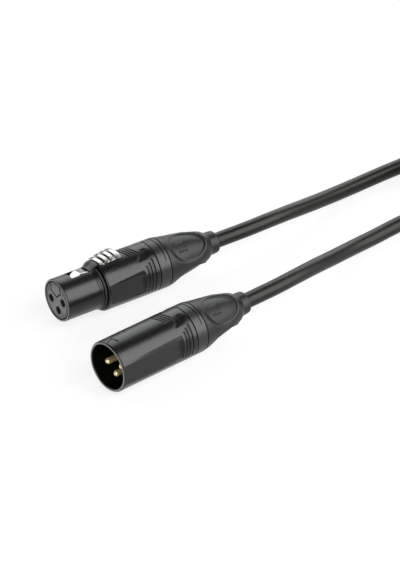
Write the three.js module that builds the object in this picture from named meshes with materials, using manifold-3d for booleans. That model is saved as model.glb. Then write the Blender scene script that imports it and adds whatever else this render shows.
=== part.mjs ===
// A three-metre XLR microphone cable: a female and a male cable connector side by side, with the
// balanced cable between them wound into a coil behind. Millimetres, +Z up, standing surface at z = 0.
// +X runs along the female connector from its mating face to its cable end. The origin is the middle of
// the two connectors' footprint.
import * as THREE from "three";
import { mergeVertices } from "three/addons/utils/BufferGeometryUtils.js";
import Module from "manifold-3d";

// Running gap between neighbouring pieces
const GAP = 0.3;

// Where the two connectors lie: middle of the mating face, heading of the axis, roll about the axis
const SHELL_RADIUS = 9.5;
const FEMALE_PLACE = { x: -29.15, y: 22.6, heading: 0 };
const MALE_PLACE = { x: -38.08, y: -22.67, heading: 5.8 };
const ROLL = -12;

// XLR mating dimensions
const NOSE_RADIUS = 8.0;
const NOSE_BORE = 7.1;
const CUP_RADIUS = 8.4;
const CONTACT_CIRCLE = 3.81;
const CONTACT_CLOCK = [-90, 90, 180];
const PIN_RADIUS = 1.18;

// Lengths along each connector, measured from its mating face
const FEMALE_SHELL_END = 38.7;
const MALE_SHELL_END = 33.6;
const REAR_BORE = 7.8;
const NOSE_LENGTH = 14.4;
const BODY_START = 16.5;
const FEMALE_INSERT_LENGTH = 15.5;
const MALE_INSERT = { start: 14.5, end: 19 };
const INSERT_RECESS = 0.15;

// Latch of the female connector: a lever on a cross pin near its rear end
const LATCH_PIVOT = { x: 28.3, z: 5.0 };
const LATCH_PIN_RADIUS = 0.6;
const LATCH_WINDOW = { start: 5.8, end: 13.4, halfWidth: 2.8 };
const LATCH_RECESS = { start: 17.0, end: 27.0, halfWidth: 4.0 };
const LATCH_ARM = { halfWidth: 2.4, bottom: 4.9, top: 6.4 };
const BUTTON = { start: 17.5, end: 26.6, halfWidth: 3.6, top: 11.3, frontSlope: 0.7 };
const HOOK_TOP = 7.7;
const INSERT_SLOT = { start: 1.6, halfWidth: 3.0, floor: 2.5 };

// Cable clamp, nut and boot, measured back from the end of the shell
const CABLE_RADIUS = 2.85;
const CLAMP_START = -8.2;
const CLAMP_END = 4.3;
const NUT_SLEEVE_START = -7.2;
const NUT_FLANGE_END = 4.8;
const NUT_TAIL_END = 11.3;
const BOOT_START = NUT_FLANGE_END + GAP;
const BOOT_END = 29.5;
const JACKET_START = -7.7;

// Cable: 2.85 m from boot to boot, of which the coil holds about eleven and a half turns
const COIL_CENTRE = { x: 184.7, y: -4.8 };
const COIL_RADIUS = 35;
const COIL_HALF_WIDTH = 8.9;
const COIL_BOTTOM = 1.5;
const COIL_HEIGHT = 23;
const TIE = { thickness: 1.2, width: 10, angles: [20, 290] };
const RUN_SIDES = 10;

// Route of each free run of the cable, from the boot to the coil
const FEMALE_RUN = [
  [39.35, 22.6, 9.5],
  [46, 22.6, 9.5],
  [53, 22.6, 9.5],
  [63.3, 23.5, 9.05],
  [75, 25.6, 7.6],
  [86.6, 28.2, 5.6],
  [98.2, 30.7, 3.9],
  [110, 32.5, 3.0],
  [122, 33.5, 2.9],
  [136, 34.2, 2.9],
  [149, 34.7, 3.3],
  [159.5, 35, 4.2],
];
const MALE_RUN = [
  [25.09, -16.25, 9.5],
  [31.8, -15.57, 9.5],
  [38.8, -14.85, 9.5],
  [48.8, -12.9, 9.05],
  [60.2, -9.6, 7.6],
  [71.5, -6, 5.6],
  [83, -2.6, 3.9],
  [94.6, -0.2, 3.0],
  [106.5, 1.6, 2.9],
  [116, 2.5, 2.9],
  [123.5, 2.4, 2.9],
  [129.6, 0.9, 2.95],
  [134.7, -1.7, 3.2],
  [137.6, -4.1, 3.5],
];

const ROUND = 36;
const SMALL_ROUND = 12;

const wasm = await Module();
wasm.setup();

const COLOURS = {
  shell: { color: 0x1b1b1c, roughness: 0.3, metalness: 0.5 },
  moulding: { color: 0x2b2b2c, roughness: 0.7, metalness: 0.0 },
  boot: { color: 0x303031, roughness: 0.75, metalness: 0.0 },
  face: { color: 0x77787a, roughness: 0.55, metalness: 0.1 },
  blackInsert: { color: 0x121213, roughness: 0.5, metalness: 0.0 },
  nickel: { color: 0xc9c9c4, roughness: 0.25, metalness: 1.0 },
  gold: { color: 0xd8b25a, roughness: 0.22, metalness: 1.0 },
  steel: { color: 0x9a9da1, roughness: 0.35, metalness: 1.0 },
  rubber: { color: 0x0d0d0d, roughness: 0.6, metalness: 0.0 },
  jacket: { color: 0x2e2f31, roughness: 0.6, metalness: 0.0 },
  tie: { color: 0x1a1a1b, roughness: 0.95, metalness: 0.0 },
  wireRed: { color: 0x9c2a24, roughness: 0.5, metalness: 0.0 },
  wireWhite: { color: 0xd9d8d2, roughness: 0.5, metalness: 0.0 },
  wireBare: { color: 0xb87748, roughness: 0.4, metalness: 0.8 },
};

// Closed mesh to manifold solid, with only its positions kept
function solid(geometry) {
  const plain = geometry.index ? geometry.toNonIndexed() : geometry.clone();
  plain.deleteAttribute("normal");
  plain.deleteAttribute("uv");
  const merged = mergeVertices(plain, 1e-4);
  return new wasm.Manifold(
    new wasm.Mesh({
      numProp: 3,
      vertProperties: merged.attributes.position.array,
      triVerts: new Uint32Array(merged.index.array),
    }),
  );
}

function geometryOf(manifold) {
  const mesh = manifold.getMesh();
  const geometry = new THREE.BufferGeometry();
  geometry.setAttribute("position", new THREE.BufferAttribute(mesh.vertProperties, 3));
  geometry.setIndex(new THREE.BufferAttribute(mesh.triVerts, 1));
  geometry.computeVertexNormals();
  return geometry;
}

function cut(base, ...tools) {
  let result = solid(base);
  for (const tool of tools) {
    result = result.subtract(solid(tool));
  }
  return geometryOf(result);
}

function join(...pieces) {
  let result = solid(pieces[0]);
  for (const piece of pieces.slice(1)) {
    result = result.add(solid(piece));
  }
  return geometryOf(result);
}

// Turned piece about the X axis; the profile lists [radius, x], outer wall towards +X
function turned(profile, sides = ROUND) {
  const points = profile.map(([radius, x]) => new THREE.Vector2(radius, x));
  const geometry = new THREE.LatheGeometry(points, sides);
  geometry.rotateZ(-Math.PI / 2);
  return geometry;
}

// Ring or sleeve with a bore right through it
function sleeve(outer, bore, sides = ROUND) {
  return turned([...outer, ...bore, outer[0]], sides);
}

function block(x0, x1, halfWidth, z0, z1) {
  const geometry = new THREE.BoxGeometry(x1 - x0, 2 * halfWidth, z1 - z0);
  geometry.translate((x0 + x1) / 2, 0, (z0 + z1) / 2);
  return geometry;
}

function rodAlongX(x0, x1, radius, sides = SMALL_ROUND) {
  const geometry = new THREE.CylinderGeometry(radius, radius, x1 - x0, sides);
  geometry.rotateZ(-Math.PI / 2);
  geometry.translate((x0 + x1) / 2, 0, 0);
  return geometry;
}

function rodAlongY(x, z, halfLength, radius, sides = SMALL_ROUND) {
  const geometry = new THREE.CylinderGeometry(radius, radius, 2 * halfLength, sides);
  geometry.translate(x, 0, z);
  return geometry;
}

// Side view outline [x, z] extruded across the connector
function plate(outline, halfWidth) {
  const shape = new THREE.Shape(outline.map(([x, z]) => new THREE.Vector2(x, z)));
  const geometry = new THREE.ExtrudeGeometry(shape, { depth: 2 * halfWidth, bevelEnabled: false });
  geometry.rotateX(Math.PI / 2);
  geometry.translate(0, halfWidth, 0);
  return geometry;
}

function tube(points, radius, sides, steps) {
  const curve = new THREE.CatmullRomCurve3(points.map((p) => new THREE.Vector3(...p)));
  const section = new THREE.Shape();
  for (let i = 0; i <= sides; i += 1) {
    const angle = (2 * Math.PI * i) / sides;
    const corner = [radius * Math.cos(angle), radius * Math.sin(angle)];
    if (i === 0) {
      section.moveTo(...corner);
    } else {
      section.lineTo(...corner);
    }
  }
  return new THREE.ExtrudeGeometry(section, { steps, extrudePath: curve, bevelEnabled: false });
}

// Place of a contact: clock angle from the latch, positive towards the female connector's right side
function contactSpot(clock, radius = CONTACT_CIRCLE) {
  const angle = THREE.MathUtils.degToRad(clock);
  return { y: -radius * Math.sin(angle), z: radius * Math.cos(angle) };
}

function atContact(geometry, clock) {
  const { y, z } = contactSpot(clock);
  return geometry.translate(0, y, z);
}

function part(name, geometry, colour) {
  const mesh = new THREE.Mesh(geometry, new THREE.MeshStandardMaterial(COLOURS[colour]));
  mesh.name = name;
  return mesh;
}

// ---- Female connector --------------------------------------------------------------------------

function femaleShell() {
  const outer = [
    [NOSE_BORE, 0],
    [NOSE_RADIUS - 0.3, 0],
    [NOSE_RADIUS, 0.3],
    [NOSE_RADIUS, NOSE_LENGTH],
    [NOSE_RADIUS + 0.3, NOSE_LENGTH + 0.3],
    [NOSE_RADIUS + 0.3, NOSE_LENGTH + 0.7],
    [NOSE_RADIUS - 0.4, NOSE_LENGTH + 0.7],
    [NOSE_RADIUS - 0.4, BODY_START],
    [SHELL_RADIUS - 0.5, BODY_START],
    [SHELL_RADIUS, BODY_START + 0.5],
    [SHELL_RADIUS, FEMALE_SHELL_END],
  ];
  const bore = [
    [REAR_BORE, FEMALE_SHELL_END],
    [REAR_BORE, BODY_START + 1],
    [NOSE_BORE, BODY_START + 1],
  ];
  const above = SHELL_RADIUS + 1;
  const window = block(LATCH_WINDOW.start, LATCH_WINDOW.end, LATCH_WINDOW.halfWidth, 4, above);
  const recess = block(LATCH_RECESS.start, LATCH_RECESS.end, LATCH_RECESS.halfWidth, 4, above);
  return cut(sleeve(outer, bore), window, recess, ...sidePanels(BODY_START + 1, 32));
}

// Shallow flat cut on each side of a shell, just deep enough to make a finger panel
function sidePanels(start, end) {
  const depth = 0.25;
  const height = 2.2;
  return [-1, 1].map((side) => {
    const geometry = new THREE.BoxGeometry(end - start, 2, 2 * height);
    return geometry.translate((start + end) / 2, side * (SHELL_RADIUS - depth + 1), -1);
  });
}

function sealRing() {
  const start = NOSE_LENGTH + 0.7 + GAP;
  const end = BODY_START - GAP;
  const inner = NOSE_RADIUS - 0.4 + GAP;
  const outer = [
    [inner, start],
    [inner + 0.5, start],
    [inner + 0.7, (start + end) / 2],
    [inner + 0.5, end],
  ];
  return sleeve(outer, [[inner, end]]);
}

function femaleInsert() {
  const radius = NOSE_BORE - GAP;
  const disc = turned([
    [0, INSERT_RECESS],
    [radius, INSERT_RECESS],
    [radius, FEMALE_INSERT_LENGTH],
    [0, FEMALE_INSERT_LENGTH],
  ]);
  const { start, halfWidth, floor } = INSERT_SLOT;
  const slot = block(start, FEMALE_INSERT_LENGTH + 1, halfWidth, floor, radius + 1);
  const mouths = CONTACT_CLOCK.map((clock) => atContact(rodAlongX(-1, 2, 1.35), clock));
  const bores = CONTACT_CLOCK.map((clock) =>
    atContact(rodAlongX(INSERT_SLOT.start, FEMALE_INSERT_LENGTH + 1, 1.95), clock),
  );
  return cut(disc, slot, ...mouths, ...bores);
}

// Socket contact: a blind tube in front and a solder cup behind
function socketContact() {
  return turned(
    [
      [0, 12],
      [1.25, 12],
      [1.25, 1.9],
      [1.65, 1.9],
      [1.65, 16],
      [1.2, 16],
      [1.2, 20],
      [0.8, 20],
      [0.8, 17.5],
      [0, 17.5],
    ],
    SMALL_ROUND,
  );
}

function latchLever() {
  const { bottom, top, halfWidth } = LATCH_ARM;
  const hookStart = LATCH_WINDOW.start + GAP;
  const hookEnd = LATCH_WINDOW.end - GAP;
  const knuckle = 1.3;
  const arm = plate(
    [
      [hookStart, bottom],
      [LATCH_PIVOT.x - knuckle, bottom],
      [LATCH_PIVOT.x - knuckle, LATCH_PIVOT.z - knuckle],
      [LATCH_PIVOT.x + knuckle, LATCH_PIVOT.z - knuckle],
      [LATCH_PIVOT.x + knuckle, LATCH_PIVOT.z + knuckle],
      [LATCH_PIVOT.x - knuckle, top],
      [hookEnd, top],
      [hookEnd, HOOK_TOP],
      [hookStart + 3.4, HOOK_TOP],
      [hookStart, top],
    ],
    halfWidth,
  );
  const button = plate(
    [
      [BUTTON.start, top - 0.2],
      [BUTTON.end, top - 0.2],
      [BUTTON.end, BUTTON.top - 1.6],
      [BUTTON.end - 1.2, BUTTON.top],
      [BUTTON.start + BUTTON.frontSlope, BUTTON.top],
      [BUTTON.start, BUTTON.top - 1.2],
    ],
    BUTTON.halfWidth,
  );
  const pinHole = rodAlongY(LATCH_PIVOT.x, LATCH_PIVOT.z, halfWidth + 1, LATCH_PIN_RADIUS + GAP);
  return cut(join(arm, button), pinHole, ...buttonSlots());
}

// Cross slots in the top of the button, which leave its finger ribs
function buttonSlots() {
  const width = 0.9;
  const depth = 0.8;
  const pitch = (BUTTON.end - BUTTON.start) / 4;
  return [1, 2, 3].map((i) => {
    const middle = BUTTON.start + i * pitch;
    const wide = BUTTON.halfWidth + 1;
    return block(middle - width / 2, middle + width / 2, wide, BUTTON.top - depth, BUTTON.top + 1);
  });
}

function latchPin() {
  return rodAlongY(LATCH_PIVOT.x, LATCH_PIVOT.z, 5.4, LATCH_PIN_RADIUS);
}

// Torsion spring: three turns of wire round the cross pin, beside the lever's knuckle
function latchSpring() {
  const turns = 3;
  const coilRadius = 1.15;
  const pitch = 0.42;
  const perTurn = 10;
  const points = [];
  for (let i = 0; i <= turns * perTurn; i += 1) {
    const angle = (2 * Math.PI * i) / perTurn;
    const x = LATCH_PIVOT.x + coilRadius * Math.cos(angle);
    const z = LATCH_PIVOT.z + coilRadius * Math.sin(angle);
    points.push([x, -2.75 - (pitch * i) / perTurn, z]);
  }
  return tube(points, 0.16, 6, 36);
}

// ---- Male connector ----------------------------------------------------------------------------

function maleShell() {
  const outer = [
    [CUP_RADIUS, 0],
    [SHELL_RADIUS - 0.3, 0],
    [SHELL_RADIUS, 0.3],
    [SHELL_RADIUS, MALE_SHELL_END],
  ];
  const bore = [
    [REAR_BORE, MALE_SHELL_END],
    [REAR_BORE, MALE_INSERT.end + GAP],
    [CUP_RADIUS, MALE_INSERT.end + GAP],
  ];
  return cut(sleeve(outer, bore), ...sidePanels(0.8, 26.5));
}

function maleInsert() {
  const radius = CUP_RADIUS - GAP;
  const disc = turned([
    [0, MALE_INSERT.start],
    [radius, MALE_INSERT.start],
    [radius, MALE_INSERT.end],
    [0, MALE_INSERT.end],
  ]);
  const bores = CONTACT_CLOCK.map((clock) =>
    atContact(rodAlongX(MALE_INSERT.start - 1, MALE_INSERT.end + 1, PIN_RADIUS + GAP), clock),
  );
  return cut(disc, ...bores);
}

// Pin contact: round nose in front and a solder cup behind
function pinContact() {
  const tip = 2.6;
  const end = 20.8;
  return turned(
    [
      [0, tip],
      [0.62, tip + 0.16],
      [1.0, tip + 0.55],
      [PIN_RADIUS, tip + PIN_RADIUS],
      [PIN_RADIUS, end],
      [0.8, end],
      [0.8, end - 2.2],
      [0, end - 2.2],
    ],
    SMALL_ROUND,
  );
}

// ---- Pieces that both connectors share ---------------------------------------------------------

function earthTag(start) {
  const plateSolid = block(start, start + 4.5, 1.5, -7.2, -6.7);
  const hole = new THREE.CylinderGeometry(0.6, 0.6, 3, SMALL_ROUND);
  hole.rotateX(Math.PI / 2);
  hole.translate(start + 3.3, 0, -7);
  return cut(plateSolid, hole);
}

// Insulated conductor from a solder cup in to the cable
function conductor(clock, start, end) {
  const rim = contactSpot(clock);
  const core = contactSpot(clock, 1.2);
  const middle = (start + end) / 2;
  const points = [
    [start, rim.y, rim.z],
    [start + 1.2, rim.y, rim.z],
    [middle + 0.4, (rim.y + core.y) / 2, (rim.z + core.z) / 2],
    [end, core.y, core.z],
  ];
  return tube(points, 0.45, 6, 6);
}

// Collet that grips the jacket, slotted at its rear
function cableClamp(shellEnd) {
  const bore = CABLE_RADIUS + 0.35;
  const start = shellEnd + CLAMP_START;
  const end = shellEnd + CLAMP_END;
  const outer = [
    [bore, start],
    [5.9, start],
    [5.9, shellEnd],
    [4.4, end],
  ];
  const body = sleeve(outer, [[bore, end]], 24);
  const slot = block(shellEnd - 3, end + 1, 0.4, -7, 7);
  const crossSlot = slot.clone().rotateX(Math.PI / 2);
  return cut(body, slot, crossSlot);
}

// Threaded nut: sleeve inside the shell, collar flush with the shell, tail that holds the boot
function backNut(shellEnd) {
  const collar = SHELL_RADIUS - 0.05;
  const outer = [
    [6.3, shellEnd + NUT_SLEEVE_START],
    [7.4, shellEnd + NUT_SLEEVE_START],
    [7.4, shellEnd + GAP],
    [collar, shellEnd + GAP],
    [collar, shellEnd + NUT_FLANGE_END],
    [6.0, shellEnd + NUT_FLANGE_END],
    [6.0, shellEnd + NUT_TAIL_END],
  ];
  const bore = [
    [4.9, shellEnd + NUT_TAIL_END],
    [4.9, shellEnd + 6],
    [6.3, shellEnd + 3.8],
  ];
  return sleeve(outer, bore);
}

// Tapered flexible boot, with a short collar where the cable leaves it
function strainBoot(shellEnd) {
  const taper = new THREE.SplineCurve([
    new THREE.Vector2(9.4, BOOT_START),
    new THREE.Vector2(8.75, 8.7),
    new THREE.Vector2(7.7, 15),
    new THREE.Vector2(6.5, 21),
    new THREE.Vector2(4.6, 26.2),
  ]);
  const skin = taper.getPoints(10).map((p) => [p.x, shellEnd + p.y]);
  const mouth = CABLE_RADIUS + GAP;
  const socket = 6.0 + GAP;
  const socketEnd = shellEnd + NUT_TAIL_END + GAP;
  const outer = [
    [socket, shellEnd + BOOT_START],
    ...skin,
    [4.25, shellEnd + 27.2],
    [4.2, shellEnd + BOOT_END - 0.3],
    [3.9, shellEnd + BOOT_END],
  ];
  const bore = [
    [mouth, shellEnd + BOOT_END],
    [mouth, socketEnd],
    [socket, socketEnd],
  ];
  return sleeve(outer, bore);
}

function jacketTail(shellEnd) {
  return rodAlongX(shellEnd + JACKET_START, shellEnd + BOOT_END, CABLE_RADIUS, RUN_SIDES);
}

// ---- Loose cable -------------------------------------------------------------------------------

function cableRun(points) {
  const steps = 18;
  return tube(points, CABLE_RADIUS, RUN_SIDES, steps);
}

// Outer shape of the wound turns: a ring with chamfered edges
function coilRing() {
  const inner = COIL_RADIUS - COIL_HALF_WIDTH;
  const outer = COIL_RADIUS + COIL_HALF_WIDTH;
  const top = COIL_BOTTOM + COIL_HEIGHT;
  const chamfer = 1.8;
  const profile = [
    [inner, COIL_BOTTOM + chamfer],
    [inner + chamfer, COIL_BOTTOM],
    [outer - chamfer, COIL_BOTTOM],
    [outer, COIL_BOTTOM + chamfer],
    [outer, top - chamfer],
    [outer - chamfer, top],
    [inner + chamfer, top],
    [inner, top - chamfer],
    [inner, COIL_BOTTOM + chamfer],
  ].map(([radius, z]) => new THREE.Vector2(radius, z));
  const geometry = new THREE.LatheGeometry(profile, 48);
  geometry.rotateX(Math.PI / 2);
  geometry.translate(COIL_CENTRE.x, COIL_CENTRE.y, 0);
  return geometry;
}

// Hook-and-loop strap round one section of the coil, with room for the curve of its inner wall
function coilTie(angle) {
  const inner = COIL_RADIUS - COIL_HALF_WIDTH;
  const bow = inner - Math.sqrt(inner ** 2 - (TIE.width / 2) ** 2);
  const halfWide = COIL_HALF_WIDTH + GAP + bow / 2;
  const halfHigh = COIL_HEIGHT / 2 + GAP;
  const strap = new THREE.Shape();
  rectangle(strap, halfWide + TIE.thickness, halfHigh + TIE.thickness);
  const hole = new THREE.Path();
  rectangle(hole, halfWide, halfHigh);
  strap.holes.push(hole);
  const geometry = new THREE.ExtrudeGeometry(strap, { depth: TIE.width, bevelEnabled: false });
  geometry.translate(COIL_RADIUS - bow / 2, COIL_BOTTOM + COIL_HEIGHT / 2, -TIE.width / 2);
  geometry.rotateX(Math.PI / 2);
  geometry.rotateZ(THREE.MathUtils.degToRad(angle));
  geometry.translate(COIL_CENTRE.x, COIL_CENTRE.y, 0);
  return geometry;
}

function rectangle(path, halfWide, halfHigh) {
  path.moveTo(-halfWide, -halfHigh);
  path.lineTo(halfWide, -halfHigh);
  path.lineTo(halfWide, halfHigh);
  path.lineTo(-halfWide, halfHigh);
  path.closePath();
}

// ---- Assembly ----------------------------------------------------------------------------------

const WIRE_COLOURS = ["wireRed", "wireWhite", "wireBare"];

function rearPieces(prefix, shellEnd, wireStart) {
  const pieces = [
    part(`${prefix}_cable_clamp`, cableClamp(shellEnd), "moulding"),
    part(`${prefix}_back_nut`, backNut(shellEnd), "moulding"),
    part(`${prefix}_boot`, strainBoot(shellEnd), "boot"),
    part(`${prefix}_jacket_end`, jacketTail(shellEnd), "jacket"),
  ];
  const wireEnd = shellEnd + JACKET_START - GAP;
  CONTACT_CLOCK.forEach((clock, i) => {
    const wire = conductor(clock, wireStart, wireEnd);
    pieces.push(part(`${prefix}_conductor_${i + 1}`, wire, WIRE_COLOURS[i]));
  });
  return pieces;
}

function placed(group, place) {
  group.rotation.order = "ZYX";
  group.rotation.z = THREE.MathUtils.degToRad(place.heading);
  group.rotation.x = THREE.MathUtils.degToRad(ROLL);
  group.position.set(place.x, place.y, SHELL_RADIUS);
  return group;
}

function femaleConnector() {
  const group = new THREE.Group();
  group.add(
    part("female_shell", femaleShell(), "shell"),
    part("seal_ring", sealRing(), "rubber"),
    part("female_insert", femaleInsert(), "face"),
    part("latch_lever", latchLever(), "nickel"),
    part("latch_pin", latchPin(), "steel"),
    part("latch_spring", latchSpring(), "steel"),
    part("female_earth_tag", earthTag(18), "steel"),
    ...rearPieces("female", FEMALE_SHELL_END, 18),
  );
  CONTACT_CLOCK.forEach((clock, i) => {
    group.add(part(`socket_contact_${i + 1}`, atContact(socketContact(), clock), "gold"));
  });
  return placed(group, FEMALE_PLACE);
}

function maleConnector() {
  const group = new THREE.Group();
  group.add(
    part("male_shell", maleShell(), "shell"),
    part("male_insert", maleInsert(), "blackInsert"),
    part("male_earth_tag", earthTag(19.6), "steel"),
    ...rearPieces("male", MALE_SHELL_END, 19),
  );
  CONTACT_CLOCK.forEach((clock, i) => {
    group.add(part(`pin_contact_${i + 1}`, atContact(pinContact(), clock), "gold"));
  });
  return placed(group, MALE_PLACE);
}

function looseCable() {
  const group = new THREE.Group();
  group.add(
    part("cable_run_female", cableRun(FEMALE_RUN), "jacket"),
    part("cable_run_male", cableRun(MALE_RUN), "jacket"),
    part("cable_coil", coilRing(), "jacket"),
  );
  TIE.angles.forEach((angle, i) => {
    group.add(part(`coil_tie_${i + 1}`, coilTie(angle), "tie"));
  });
  return group;
}

const xlrCable = new THREE.Group();
xlrCable.add(femaleConnector(), maleConnector(), looseCable());

export default xlrCable;
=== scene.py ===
"""An XLR microphone cable on a pale floor.

A female and a male cable connector lie side by side, and the balanced cable between them is wound into
a tied coil behind. Each connector is built in its own frame: x runs back from the mating face, z points
to the latch side, and clock angles turn from the latch side towards -y. Sizes in that frame are in
millimetres, and a connector's placement turns them into the metres of the row frame.
"""

import logging
import math
from collections.abc import Callable, Sequence
from dataclasses import dataclass, field
from enum import Enum

import bmesh
import bpy
import numpy as np
from mathutils import Matrix, Vector


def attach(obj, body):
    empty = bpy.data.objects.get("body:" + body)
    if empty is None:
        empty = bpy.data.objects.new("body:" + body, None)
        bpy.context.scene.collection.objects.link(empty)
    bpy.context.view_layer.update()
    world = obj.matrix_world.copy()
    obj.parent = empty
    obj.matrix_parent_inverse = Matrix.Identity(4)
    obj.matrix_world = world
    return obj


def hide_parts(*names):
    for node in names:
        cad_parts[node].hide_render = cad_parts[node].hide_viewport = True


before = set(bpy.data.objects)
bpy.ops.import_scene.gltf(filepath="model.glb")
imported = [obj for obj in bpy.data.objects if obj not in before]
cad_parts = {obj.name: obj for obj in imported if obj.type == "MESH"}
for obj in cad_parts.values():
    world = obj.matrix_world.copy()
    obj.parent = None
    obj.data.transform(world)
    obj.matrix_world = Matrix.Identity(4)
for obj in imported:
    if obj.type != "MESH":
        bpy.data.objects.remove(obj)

LOG = logging.getLogger("xlr_cable")
MM = 0.001
WELD_DISTANCE = 2e-6
CROWN_POWER = 2.5
ROUNDED_EDGE = math.radians(40)
FULL_FILLET = 0.49

Colour = tuple[float, float, float]
Corner = tuple[float, float, float]
Relief = Callable[[np.ndarray, np.ndarray, np.ndarray], np.ndarray]


class Slot(Enum):
    """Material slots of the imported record."""

    SHELL_PAINT = "shell_paint"
    RUBBER = "rubber"
    GREY_INSERT = "grey_insert"
    BLACK_INSERT = "black_insert"
    NICKEL = "nickel"
    STEEL = "steel"
    MOULDING = "moulding"
    NUT_MOULDING = "nut_moulding"
    BOOT = "boot"
    GOLD = "gold"
    WIRE_RED = "wire_red"
    WIRE_WHITE = "wire_white"
    WIRE_BARE = "wire_bare"
    JACKET = "jacket"
    TIE = "tie"


class Ride(Enum):
    """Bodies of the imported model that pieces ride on."""

    CABLE_SET = "cable_set"
    LATCH = "latch"
    FEMALE_NUT = "female_nut"
    MALE_NUT = "male_nut"


def grey(level: float) -> Colour:
    """A neutral colour."""
    return (level, level, level)


# ---- Shader nodes ------------------------------------------------------------------------------


class Value:
    """A number socket that takes part in arithmetic, each step adding a Math node."""

    def __init__(self, tree: "Tree", socket: bpy.types.NodeSocket) -> None:
        """Wraps a socket.

        Args:
            tree: The node tree that the socket is in.
            socket: An output socket that holds a number.
        """
        self.tree = tree
        self.socket = socket

    def _math(self, operation: str, first: object, second: object) -> "Value":
        """Adds one Math node.

        Args:
            operation: Its operation.
            first: A value or number.
            second: A value or number.

        Returns:
            The result.
        """
        node = self.tree.node("ShaderNodeMath", {"operation": operation}, {0: first, 1: second})
        return Value(self.tree, node.outputs[0])

    def __add__(self, other: object) -> "Value":
        """This plus other."""
        return self._math("ADD", self, other)

    __radd__ = __add__

    def __sub__(self, other: object) -> "Value":
        """This minus other."""
        return self._math("SUBTRACT", self, other)

    def __rsub__(self, other: object) -> "Value":
        """The other minus this."""
        return self._math("SUBTRACT", other, self)

    def __mul__(self, other: object) -> "Value":
        """This times other."""
        return self._math("MULTIPLY", self, other)

    __rmul__ = __mul__

    def between(self, low: float, high: float) -> "Value":
        """Smooth step of this value.

        Args:
            low: Where the step starts.
            high: Where it ends.

        Returns:
            A value from 0 at low to 1 at high.
        """
        settings = {"interpolation_type": "SMOOTHSTEP"}
        node = self.tree.node("ShaderNodeMapRange", settings, {0: self, 1: low, 2: high})
        return Value(self.tree, node.outputs[0])


class Tree:
    """The node tree of one material or world."""

    def __init__(self, owner: bpy.types.ID) -> None:
        """Starts an empty tree.

        Args:
            owner: The material or world.
        """
        owner.use_nodes = True
        self.tree = owner.node_tree
        self.tree.nodes.clear()

    def node(
        self,
        kind: str,
        settings: dict[str, object] | None = None,
        inputs: dict[str | int, object] | None = None,
    ) -> bpy.types.Node:
        """Adds a node.

        Args:
            kind: The node's type.
            settings: Its properties, set first; "stops" gives a ramp's places and greys.
            inputs: A number, tuple, value or output socket for each input by name or index.

        Returns:
            The node.
        """
        made = self.tree.nodes.new(kind)
        for name, setting in (settings or {}).items():
            if name == "stops":
                self._set_stops(made, setting)
            else:
                setattr(made, name, setting)
        for name, given in (inputs or {}).items():
            if isinstance(given, Value):
                self.tree.links.new(given.socket, made.inputs[name])
            elif isinstance(given, bpy.types.NodeSocket):
                self.tree.links.new(given, made.inputs[name])
            else:
                made.inputs[name].default_value = given
        return made

    @staticmethod
    def _set_stops(ramp: bpy.types.Node, stops: Sequence[tuple[float, Colour]]) -> None:
        """Gives a colour ramp its stops.

        Args:
            ramp: The ramp node.
            stops: Place and colour of each, in order.
        """
        elements = ramp.color_ramp.elements
        while len(elements) < len(stops):
            elements.new(1.0)
        for element, (place, colour) in zip(elements, stops):
            element.position = place
            element.color = (*colour, 1.0)

    def place(self, stretch: Sequence[float] = (1.0, 1.0, 1.0)) -> bpy.types.NodeSocket:
        """Place on the piece, in its own frame.

        Args:
            stretch: Factor along each axis.

        Returns:
            The vector's socket.
        """
        coordinates = self.node("ShaderNodeTexCoord").outputs["Object"]
        scaled = self.node("ShaderNodeVectorMath", {"operation": "MULTIPLY"}, {0: coordinates, 1: stretch})
        return scaled.outputs[0]

    def noise(self, per_metre: float, detail: float = 3.0, stretch: Sequence[float] = (1, 1, 1)) -> Value:
        """Noise texture over the piece.

        Args:
            per_metre: How many grains in a metre.
            detail: Octaves of finer noise.
            stretch: Factor along each axis, for drawn-out grain.

        Returns:
            A value about one half.
        """
        inputs = {"Vector": self.place(stretch), "Scale": per_metre, "Detail": detail}
        return Value(self, self.node("ShaderNodeTexNoise", None, inputs).outputs[0])

    def cells(self, per_metre: float) -> Value:
        """Distance from the middle of each cell of a pebbled surface."""
        inputs = {"Vector": self.place(), "Scale": per_metre}
        return Value(self, self.node("ShaderNodeTexVoronoi", None, inputs).outputs["Distance"])

    def from_face(self) -> Value:
        """Distance back from the mating face, in metres."""
        return Value(self, self.node("ShaderNodeSeparateXYZ", None, {0: self.place()}).outputs[0])

    def mixed(
        self, share: Value, first: Colour | bpy.types.NodeSocket, second: Colour | bpy.types.NodeSocket
    ) -> bpy.types.NodeSocket:
        """Mix of two colours.

        Args:
            share: How much of the second.
            first: The first colour, or its socket.
            second: The second colour, or its socket.

        Returns:
            The colour's socket.
        """
        colours = [(*c, 1.0) if isinstance(c, tuple) else c for c in (first, second)]
        inputs = {0: share, 6: colours[0], 7: colours[1]}
        return self.node("ShaderNodeMix", {"data_type": "RGBA"}, inputs).outputs[2]

    def bump(self, height: Value, depth_mm: float) -> bpy.types.NodeSocket:
        """Normal of a surface with fine relief.

        Args:
            height: From 0 to 1.
            depth_mm: Depth of the relief in millimetres.

        Returns:
            The normal's socket.
        """
        inputs = {"Height": height, "Distance": depth_mm * MM, "Strength": 1.0}
        return self.node("ShaderNodeBump", None, inputs).outputs[0]

    def surface(self, **inputs: object) -> None:
        """Adds the shader and the output.

        Args:
            inputs: The shader's inputs, with underscores for spaces.
        """
        named = {name.replace("_", " "): given for name, given in inputs.items()}
        shader = self.node("ShaderNodeBsdfPrincipled", None, named)
        self.node("ShaderNodeOutputMaterial", None, {"Surface": shader.outputs[0]})


# ---- Finishes ----------------------------------------------------------------------------------


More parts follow.
